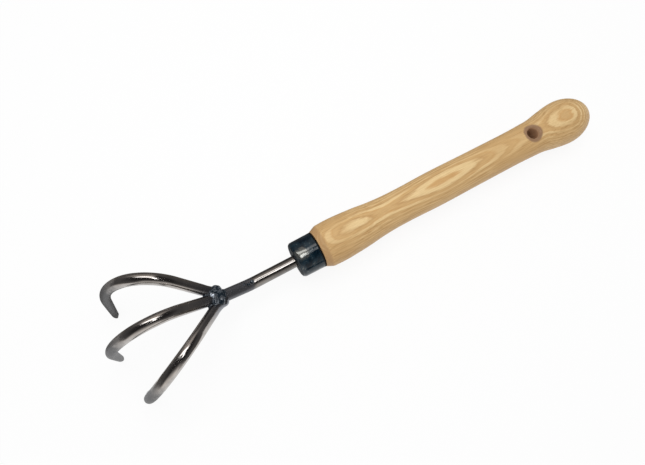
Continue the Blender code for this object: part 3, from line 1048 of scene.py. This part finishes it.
@dataclass
class Head:
    """Where the neck, the tines and their joint lie."""

    neck_diameter: float = 8.2
    neck_reach: float = 33.4
    crank_length: float = 19.1
    crank_angle: float = math.radians(19.0)
    pitch: float = math.radians(29.8)
    spread: float = math.radians(31.3)
    root_rise: float = math.radians(10.9)

    @property
    def crank(self) -> Vector:
        """The way that the neck points after its bend."""
        return Vector((-math.cos(self.crank_angle), 0, math.sin(self.crank_angle)))

    @property
    def knot(self) -> Vector:
        """Where the lines of the neck and the tines meet."""
        return -self.neck_reach * ALONG + self.crank_length * self.crank

    @property
    def forward(self) -> Vector:
        """Forward in the plane that the tines spread in."""
        return Vector((-math.cos(self.pitch), 0, math.sin(self.pitch)))

    @property
    def up(self) -> Vector:
        """Square to the plane that the tines spread in."""
        return Vector((math.sin(self.pitch), 0, math.cos(self.pitch)))

    def outward(self, side: Side) -> Vector:
        """The way that a tine sets out in that plane."""
        angle = side * self.spread
        return math.cos(angle) * self.forward + math.sin(angle) * ACROSS

    def root(self, side: Side) -> Vector:
        """The way that a tine's straight root points."""
        return math.cos(self.root_rise) * self.outward(side) + math.sin(self.root_rise) * self.up


@dataclass
class NeckRod:
    """The neck, bent up ahead of the ferrule, with its tapered tang inside the handle."""

    head: Head
    finish: Material
    sides: int = 56
    bend_radius: float = 26.0
    tang_length: float = 78.0
    tang_parallel: float = 30.0
    tang_tip_radius: float = 2.25
    tang_rings: int = 6
    straight_rings: int = 24
    bend_rings: int = 9
    crank_rings: int = 6

    def build(self) -> None:
        """Sweeps the rod along its bent line and dresses it."""
        head = self.head
        bend = self.bend_radius * math.tan(head.crank_angle / 2) - head.neck_reach
        straight = list(np.linspace(self.tang_length, self.tang_parallel, self.tang_rings))
        straight += list(np.linspace(self.tang_parallel, bend, self.straight_rings))[1:]
        centres = [float(place) * ALONG for place in straight]
        hub = Vector((bend, 0, self.bend_radius))
        for angle in np.linspace(0, head.crank_angle, self.bend_rings)[1:]:
            centres.append(hub + self.bend_radius * Vector((-math.sin(angle), 0, -math.cos(angle))))
        bend_end = centres[-1]
        steps = self.crank_rings
        centres += [bend_end.lerp(head.knot, step / steps) for step in range(1, steps + 1)]
        places = (self.tang_parallel, self.tang_length)
        sizes = (head.neck_diameter / 2, self.tang_tip_radius)
        radii = [float(np.interp(centre.x, places, sizes)) for centre in centres]
        shape = swept_rod(centres, radii, ACROSS, self.sides)
        settle(scratch_object("neck_and_tang", shape), self.finish, Slot.NECK, "neck_rod")


@dataclass
class Tine:
    """A round tapered rod that runs straight, arches, hooks and ends in a ground point."""

    head: Head
    side: Side
    node: str
    finish: Material
    sides: int = 48
    step: float = 1.3
    root_length: float = 33.4
    arch_radius: float = 27.9
    arch_turn: float = math.radians(67.7)
    hook_radius: float = 35.5
    hook_turn: float = math.radians(56.1)
    point_length: float = 23.4
    root_radius: float = 3.5
    belly_radius: float = 3.8
    end_radius: float = 2.1
    belly_place: float = 0.5
    taper_power: float = 1.6
    outer_grind: float = math.radians(42.0)
    inner_grind: float = math.radians(18.0)
    point_offset: float = 0.9
    point_width: float = 0.7
    point_rim: float = 0.12
    root_sink: float = 0.4
    root_bend: float = 6.5
    root_rings: int = 10
    left_ahead: float = 1.2
    right_ahead: float = 2.2
    nose_share: float = 0.8
    nose_steps: int = 6

    @property
    def arch_end(self) -> float:
        """How far along it the arch ends."""
        return self.root_length + self.arch_radius * self.arch_turn

    @property
    def length(self) -> float:
        """The tine's length along its centre line, from the knot."""
        return self.arch_end + self.hook_radius * self.hook_turn + self.point_length

    def direction(self, place: float) -> Vector:
        """The way that it runs.

        Args:
            place: A length along it, from the knot.

        Returns:
            Its direction there.
        """
        arch = min(max((place - self.root_length) / self.arch_radius, 0.0), self.arch_turn)
        hook = min(max((place - self.arch_end) / self.hook_radius, 0.0), self.hook_turn)
        pitch = self.head.root_rise - arch - hook
        return math.cos(pitch) * self.head.outward(self.side) + math.sin(pitch) * self.head.up

    def radius(self, share: float) -> float:
        """Its thickness.

        Args:
            share: A share of its length, from the knot.

        Returns:
            Its radius there.
        """
        swell = (self.belly_radius - self.root_radius) * min(share / self.belly_place, 1.0)
        taper = max(0.0, (share - self.belly_place) / (1 - self.belly_place)) ** self.taper_power
        return self.root_radius + swell + (self.end_radius - self.belly_radius) * taper

    def line(self) -> tuple[list[Vector], list[float]]:
        """Its line from the knot to the point.

        Returns:
            Centres and radii.
        """
        count = round(self.length / self.step)
        stride = self.length / count
        centres = [self.head.knot]
        for index in range(count):
            centres.append(centres[-1] + stride * self.direction((index + HALF) * stride))
        return centres, [self.radius(index / count) for index in range(count + 1)]

    def rooted(self, centres: list[Vector], radii: list[float]) -> tuple[list[Vector], list[float]]:
        """Bends a side tine's root in to lie along the neck, and rounds its end.

        Args:
            centres: The tine's centres from the knot.
            radii: Its radii.

        Returns:
            Its new centres and radii.
        """
        head = self.head
        outward = head.root(self.side)
        reach = (head.neck_diameter / 2 - self.root_sink) / abs(outward.y)
        ahead = self.right_ahead if self.side == Side.RIGHT else self.left_ahead
        corner = head.knot + reach * outward
        start = corner - (reach - ahead - self.root_radius * self.nose_share) * head.crank
        end = corner + self.root_bend * outward
        bend = []
        for u in np.linspace(0, 1, self.root_rings):
            bend.append(float((1 - u) ** 2) * start + float(2 * u * (1 - u)) * corner + float(u**2) * end)
        clear = (end - head.knot).length + self.step / 2
        kept = [index for index, centre in enumerate(centres) if (centre - head.knot).length > clear]
        centres = bend + [centres[index] for index in kept]
        radii = [self.root_radius] * len(bend) + [radii[index] for index in kept]
        back = (start - centres[1]).normalized()
        for angle in quarter_turn(self.nose_steps)[1:-1]:
            centres.insert(0, start + self.root_radius * math.sin(angle) * back)
            radii.insert(0, self.root_radius * math.cos(angle))
        return centres, radii

    def build(self) -> None:
        """Sweeps the rod, grinds its point and dresses it."""
        centres, radii = self.line()
        tip, along = centres[-1], (centres[-1] - centres[-2]).normalized()
        across = self.head.up.cross(self.head.outward(self.side))
        outer = along.cross(across)
        if self.side != Side.CENTRE:
            centres, radii = self.rooted(centres, radii)
        shape = swept_rod(centres, radii, across, self.sides)
        point = tip - self.point_offset * outer
        facing = math.sin(self.outer_grind) * along + math.cos(self.outer_grind) * outer
        grind(shape, point, facing, self.point_length, self.point_rim)
        point = point - self.point_width * outer
        facing = math.sin(self.inner_grind) * along - math.cos(self.inner_grind) * outer
        grind(shape, point, facing, self.point_length, self.point_rim)
        settle(scratch_object(f"{self.node}_rod", shape), self.finish, Slot.TINE, self.node)


@dataclass(frozen=True)
class Lump:
    """A flattened ball of weld metal, placed from its bead's middle and the neck's skin there."""

    forward: float
    across: float
    rise: float
    reach: float
    narrow: float = 0.86
    flat: float = 0.82
    turn: float = 0.0


@dataclass
class Weld:
    """A bead of weld metal over or under the joint, heaped in smooth lumps across it."""

    head: Head
    level: Level
    node: str
    finish: Material
    ahead: float
    width_share: float = 1.0
    core: Triple = (5.8, 6.6, 2.7)
    core_rise: float = 0.8
    web: Triple = (3.6, 1.8, 2.2)
    web_forward: float = 5.0
    web_across: float = 3.2
    web_rise: float = 1.0
    web_turn: float = 0.5
    voxel: float = 0.3
    melting: int = 11
    dimples: Sequence[Station] = ((0.45, 0.22), (1.1, 0.04))
    lumps: Sequence[Lump] = (
        Lump(-0.8, 4.5, -0.5, 3.7, turn=0.3),
        Lump(3.6, 4.4, -1.1, 2.5, narrow=0.7, turn=-1.0),
        Lump(2.2, 1.6, -0.3, 2.6, narrow=0.8, turn=0.5),
        Lump(3.4, -2.2, -0.4, 3.5, narrow=0.62, turn=-1.0),
        Lump(-0.9, -3.2, -0.3, 3.5, narrow=0.62, turn=-1.0),
        Lump(-1.2, 0.6, -0.5, 3.2, turn=0.2),
        Lump(-4.2, 1.2, -1.1, 2.9, turn=-0.5),
    )

    @property
    def basis(self) -> Matrix:
        """The bead's own frame: forward, across and up, from the knot."""
        head = self.head
        half = head.root_rise / 2
        lean = (math.cos(half) * head.forward + math.sin(half) * head.up).normalized()
        return axes(lean, ACROSS, ACROSS.cross(lean).normalized(), head.knot)

    def spot(self, place: Sequence[float], turn: float = 0.0) -> Matrix:
        """A place forward, across and up from the knot, turned in the bead's plane."""
        return self.basis @ Matrix.Translation(place) @ Matrix.Rotation(turn, 4, "Z")

    def build(self) -> None:
        """Heaps up the lumps, fuses them and dresses the bead."""
        shape = bmesh.new()
        skin = self.head.neck_diameter / 2
        core = (self.core[0], self.core[1] * self.width_share, self.core[2])
        add_ball(shape, self.spot((self.ahead, 0.0, self.level * skin * self.core_rise)), core)
        for lump in self.lumps:
            across = lump.across * self.width_share
            place = (self.ahead + lump.forward, across, self.level * (skin + lump.rise))
            size = (lump.reach, lump.reach * lump.narrow, lump.reach * lump.flat)
            add_ball(shape, self.spot(place, lump.turn), size)
        for across in (-self.web_across, self.web_across):
            place = (self.ahead + self.web_forward, across, self.level * self.web_rise)
            add_ball(shape, self.spot(place, math.copysign(self.web_turn, across)), self.web)
        made = scratch_object(f"{self.node}_metal", shape)
        remesh = made.modifiers.new("fuse", "REMESH")
        remesh.mode = "VOXEL"
        remesh.voxel_size = self.voxel
        bake_modifiers(made)
        self.weather(made.data)
        settle(made, self.finish, Slot.WELD, self.node)

    def weather(self, mesh: Mesh) -> None:
        """Relaxes the fused bead and roughens its skin a little.

        Args:
            mesh: The bead's mesh, in the tool's frame.
        """
        shape = bmesh.new()
        shape.from_mesh(mesh)
        for _ in range(self.melting):
            bmesh.ops.smooth_vert(shape, verts=shape.verts, factor=HALF, **EVERY_WAY)
        shape.normal_update()
        for vertex in shape.verts:
            lift = sum(noise.noise(vertex.co * scale) * depth for scale, depth in self.dimples)
            vertex.co += vertex.normal * lift
        shape.to_mesh(mesh)
        shape.free()


@dataclass
class Spatter:
    """Drops of weld metal that landed on the neck near its bend."""

    head: Head
    finish: Material
    drops: Sequence[Triple] = ((-31.6, 4.0, 1.30), (-34.4, -6.0, 1.15), (-36.8, 12.0, 0.8))
    bend_start: float = 3.0
    bend_share: float = 0.75
    sunk: float = 0.25
    long: float = 1.1
    flat: float = 0.85

    def build(self) -> None:
        """Sets each drop on the neck's upper side, sunk to its middle, and dresses them."""
        shape = bmesh.new()
        head = self.head
        for place, angle, size in self.drops:
            past = max(0.0, -head.neck_reach + self.bend_start - place)
            spot = Matrix.Translation((place, 0.0, past * math.tan(head.crank_angle) * self.bend_share))
            spot = spot @ Matrix.Rotation(math.radians(-angle), 4, "X")
            spot = spot @ Matrix.Translation((0.0, 0.0, head.neck_diameter / 2 - size * self.sunk))
            add_ball(shape, spot, (size * self.long, size, size * self.flat))
        settle(scratch_object("weld_spatter", shape), self.finish, Slot.WELD)


@dataclass(frozen=True)
class Window:
    """A soft-edged window of the room: its middle and half sizes as directions, its turn and its light."""

    along: float
    across: float
    half_along: float
    half_across: float
    turn: float
    strength: float
    edge: Step = Step(1.25, 0.75)

    def light(self, nodes: Nodes, way: Wire) -> Wire:
        """Its light.

        Args:
            nodes: The room's nodes.
            way: The direction from the middle of the room.

        Returns:
            The strength in that direction.
        """
        middle = (self.along, self.across, 0.0)
        feeds = {"Vector": way, "Center": middle, "Angle": -self.turn}
        turned = nodes.result("VectorRotate", feeds, rotation_type="Z_AXIS")
        away = nodes.vector("SUBTRACT", turned, middle)
        shares = away.scaled((1 / self.half_along, 1 / self.half_across, 0.0))
        return nodes.vector("LENGTH", shares, output="Value").step(self.edge) * self.strength


@dataclass(frozen=True)
class Card:
    """A flat piece of the stage."""

    name: str
    width: float
    length: float
    place: Triple = (0.0, 0.0, 0.0)

    def shape(self) -> BMesh:
        """Its shape.

        Returns:
            The shape, in metres.
        """
        shape = bmesh.new()
        spread = Matrix.Translation(self.place) @ Matrix.Diagonal((self.width, self.length, 1.0, 1.0))
        bmesh.ops.create_grid(shape, x_segments=1, y_segments=1, size=HALF, matrix=spread)
        return shape


@dataclass(frozen=True)
class Wall:
    """A lit stretch of the room's wall: the steps that bound it sideways, in height and rearwards."""

    sides: Step
    heights: Step
    rear: Step

    def light(self, toward: Wire, height: Wire, rearward: Wire) -> Wire:
        """The share that it lights, from the direction's parts."""
        return toward.step(self.sides) * height.step(self.heights) * rearward.step(self.rear)


@dataclass
class Studio:
    """A pale floor, a soft lamp, a dark room that only shiny metal sees, and the camera."""

    ground: Card = Card("floor", 8.0, 8.0)
    floor_colour: Colour = (0.94, 0.94, 0.94)
    floor_glow: float = 0.90
    lamp_place: Triple = (-0.02, 0.12, 0.62)
    lamp_length: float = 0.50
    lamp_width: float = 0.40
    lamp_power: float = 1.9
    ambient: float = 0.60
    room_radius: float = 1.5
    room_steps: int = 32
    main_window: Window = Window(-0.06, 0.380, 0.34, 0.118, -0.38, 3.2)
    small_window: Window = Window(0.055, -0.045, 0.048, 0.16, 0.0, 8.0)
    wall_direction: Triple = (-0.35, -0.937, 0.0)
    high_wall: Wall = Wall(Step(0.74, 0.94), Step(0.95, 0.1), Step(0.20, -0.06, 0.25, 1.0))
    low_wall: Wall = Wall(Step(0.20, 0.60), Step(0.26, 0.0), Step(0.45, 0.15))
    wall_light: Colour = (1.0, 0.96, 0.92)
    brown_sides: Step = Step(0.78, 0.97)
    brown_heights: Step = Step(0.05, 0.80)
    room_brown: Colour = (0.60, 0.55, 0.51)
    dim_heights: Step = Step(0.85, 0.35)
    room_dark: Colour = (0.029, 0.027, 0.028)
    room_dim: Colour = (0.093, 0.090, 0.091)
    floor_shade: Colour = (0.12, 0.11, 0.10)
    cards: Sequence[Card] = (
        Card("rear_card", 2.6, 1.2, (0.0, 0.62, 0.0008)),
        Card("front_card", 1.548, 1.2, (0.726, -0.715, 0.0008)),
    )
    image_width: int = 645
    image_height: int = 465
    focal_pixels: float = 500.0
    sensor: float = 36.0
    nearest: float = 0.01
    centre_px: Station = (323.0, 233.0)
    camera_place: Triple = (-36.88, -68.78, 326.13)
    camera_right: Triple = (0.87335, -0.48414, 0.05357)
    camera_down: Triple = (-0.45095, -0.84521, -0.28681)

    def seen_rays(self, nodes: Nodes) -> Wire:
        """1 for rays that show the background: from the camera, off a shiny surface or through glass."""
        path = nodes.wires(nodes.add("LightPath"))
        return path["Is Camera Ray"].larger(path["Is Glossy Ray"].larger(path["Is Transmission Ray"]))

    def world(self) -> None:
        """A white surround that lights the object softly."""
        world = bpy.data.worlds.new("studio")
        bpy.context.scene.world = world
        world.use_nodes = True
        nodes = Nodes(world.node_tree)
        strength = self.seen_rays(nodes).step(Step(0.0, 1.0, self.ambient, 1.0))
        nodes.feed(world.node_tree.nodes["Background"], {"Color": WHITE, "Strength": strength})

    def stage_piece(self, name: str, shape: BMesh, finish: Material, seen: bool = False) -> None:
        """Makes a piece of the stage.

        Args:
            name: Its name.
            shape: Its shape, in metres.
            finish: Its material.
            seen: Whether it is seen by itself, and not only in shiny surfaces.
        """
        made = new_object(name, new_mesh(name, shape))
        made.data.materials.append(finish)
        for rays in ("camera", "diffuse", "shadow", "transmission"):
            setattr(made, f"visible_{rays}", seen)

    def floor(self) -> None:
        """The floor, lifted towards white where it is seen, so that it keeps only a faint shadow."""
        made, nodes, shader = new_material("pale_floor")
        nodes.feed(shader, {"Base Color": self.floor_colour, "Roughness": 1.0, "Specular IOR Level": 0.0})
        glow = nodes.result("Emission", {"Strength": 1.0})
        share = self.seen_rays(nodes) * self.floor_glow
        both = nodes.result("MixShader", {0: share, 1: nodes.wires(shader)["BSDF"], 2: glow})
        nodes.feed(made.node_tree.nodes["Material Output"], {"Surface": both})
        self.stage_piece(self.ground.name, self.ground.shape(), made, seen=True)

    def glow(self, name: str) -> tuple[Material, Nodes, Node]:
        """Starts a material that only gives off light.

        Args:
            name: The material's name.

        Returns:
            The material, its nodes and its Emission shader.
        """
        made, nodes, shader = new_material(name)
        made.node_tree.nodes.remove(shader)
        light = nodes.add("Emission")
        nodes.feed(made.node_tree.nodes["Material Output"], {"Surface": Wire(nodes, light.outputs[0])})
        return made, nodes, light

    def room(self) -> None:
        """A dark room over the tool: soft windows overhead, a light wall on one side, brown on the other."""
        shape = bmesh.new()
        steps = self.room_steps
        bmesh.ops.create_uvsphere(shape, u_segments=2 * steps, v_segments=steps, radius=self.room_radius)
        whole = [*shape.verts, *shape.edges, *shape.faces]
        bmesh.ops.bisect_plane(shape, geom=whole, plane_no=UPRIGHT, clear_inner=True)
        made, nodes, light = self.glow("dark_room")
        way = nodes.vector("NORMALIZE", nodes.result("TexCoord", {}, "Object"))
        level = nodes.vector("NORMALIZE", way.scaled((1.0, 1.0, 0.0)))
        toward = nodes.vector("DOT_PRODUCT", level, self.wall_direction, output="Value")
        height = way.split()[2]
        rearward, sideways, _ = level.split()
        walls = [wall.light(toward, height, rearward) for wall in (self.high_wall, self.low_wall)]
        brown = sideways.step(self.brown_sides) * height.step(self.brown_heights)
        dark = nodes.mix(height.step(self.dim_heights), self.room_dark, self.room_dim)
        tone = nodes.mix(brown, dark, self.room_brown)
        tone = nodes.mix(nodes.math("MAXIMUM", *walls), tone, self.wall_light)
        glare = self.main_window.light(nodes, way).larger(self.small_window.light(nodes, way))
        grey = nodes.result("CombineColor", {0: glare, 1: glare, 2: glare})
        nodes.feed(light, {"Color": nodes.mix(1.0, tone, grey, "ADD")})
        self.stage_piece("room", shape, made)

    def floor_cards(self) -> None:
        """Dark cards on the floor, one behind the tool and one in front of its handle."""
        made, nodes, light = self.glow("floor_shade")
        nodes.feed(light, {"Color": self.floor_shade})
        for card in self.cards:
            self.stage_piece(card.name, card.shape(), made)

    def lamp(self) -> None:
        """A long soft box over the tool."""
        light = bpy.data.lights.new("soft_box", "AREA")
        light.shape = "RECTANGLE"
        light.size = self.lamp_length
        light.size_y = self.lamp_width
        light.energy = self.lamp_power
        made = new_object("soft_box", light)
        made.location = self.lamp_place
        made.visible_glossy = False

    def camera(self) -> None:
        """A camera at the photograph's viewing angle."""
        lens = bpy.data.cameras.new("camera")
        lens.sensor_width = self.sensor
        lens.sensor_fit = "HORIZONTAL"
        lens.lens = self.focal_pixels * self.sensor / self.image_width
        lens.shift_x = (self.image_width / 2 - self.centre_px[0]) / self.image_width
        lens.shift_y = (self.centre_px[1] - self.image_height / 2) / self.image_width
        lens.clip_start = self.nearest
        made = new_object("camera", lens)
        right = Vector(self.camera_right).normalized()
        back = right.cross(-Vector(self.camera_down)).normalized()
        place, turn, _ = (TOOL @ axes(right, back.cross(right), back, self.camera_place)).decompose()
        made.location = place
        made.rotation_mode = "QUATERNION"
        made.rotation_quaternion = turn
        bpy.context.scene.camera = made

    def build(self) -> None:
        """Sets the stage, the lamps and the camera."""
        self.world()
        self.floor()
        self.room()
        self.floor_cards()
        self.lamp()
        self.camera()
        bpy.context.scene.view_settings.view_transform = "Standard"


def main() -> None:
    """Builds the stage and each sub-assembly in order."""
    logging.basicConfig(level=logging.INFO, format="%(name)s: %(message)s")
    Studio().build()
    patina = Patina().group()
    head = Head()
    neck_steel = DrawnSteel(
        name="neck_steel", patina=patina, dark=(0.20, 0.188, 0.18), light=(0.29, 0.275, 0.26),
        knot=head.knot, scale_edge=Step(22.0, 19.5), scale_matt=0.3, hook_edge=NOWHERE
    ).build()
    tine_steel = DrawnSteel(
        name="tine_steel", patina=patina, dark=(0.40, 0.378, 0.36), light=(0.53, 0.50, 0.475),
        knot=head.knot, scale_edge=Step(30.0, 9.0), scale=(0.25, 0.26, 0.285), roughness=0.16
    ).build()
    ferrule_steel = BluedSteel(
        name="blued_ferrule", patina=patina, dark=(0.001, 0.006, 0.012), light=(0.010, 0.027, 0.040),
        bare=(0.20, 0.200, 0.186), cloud_size=5.5, worn_above=0.61, roughness=0.11, relief=0.018,
        # The rear band is made matt and painted near black as shade where the cap meets the wood.
        rubbed=(4.6, -0.4, 12.4), front_matt=Step(0.9, 0.1), rear_matt_and_shade=Step(15.7, 16.1)
    ).build()
    weld_steel = BluedSteel(
        name="weld_metal", patina=patina, dark=(0.006, 0.012, 0.018), light=(0.022, 0.030, 0.040),
        bare=(0.26, 0.29, 0.33), cloud_size=3.0, worn_above=0.50, roughness=0.10, relief=0.003
    ).build()
    Handle().build()
    Ferrule(ferrule_steel).build()
    NeckRod(head, neck_steel).build()
    for side in Side:
        Tine(head, side, f"{side.name.lower()}_tine", tine_steel).build()
    Weld(head, Level.UPPER, "weld_bead_top", weld_steel, ahead=6.2).build()
    Weld(head, Level.LOWER, "weld_bead_under", weld_steel, ahead=1.2, width_share=0.72).build()
    Spatter(head, weld_steel).build()


if __name__ == "__main__":
    main()
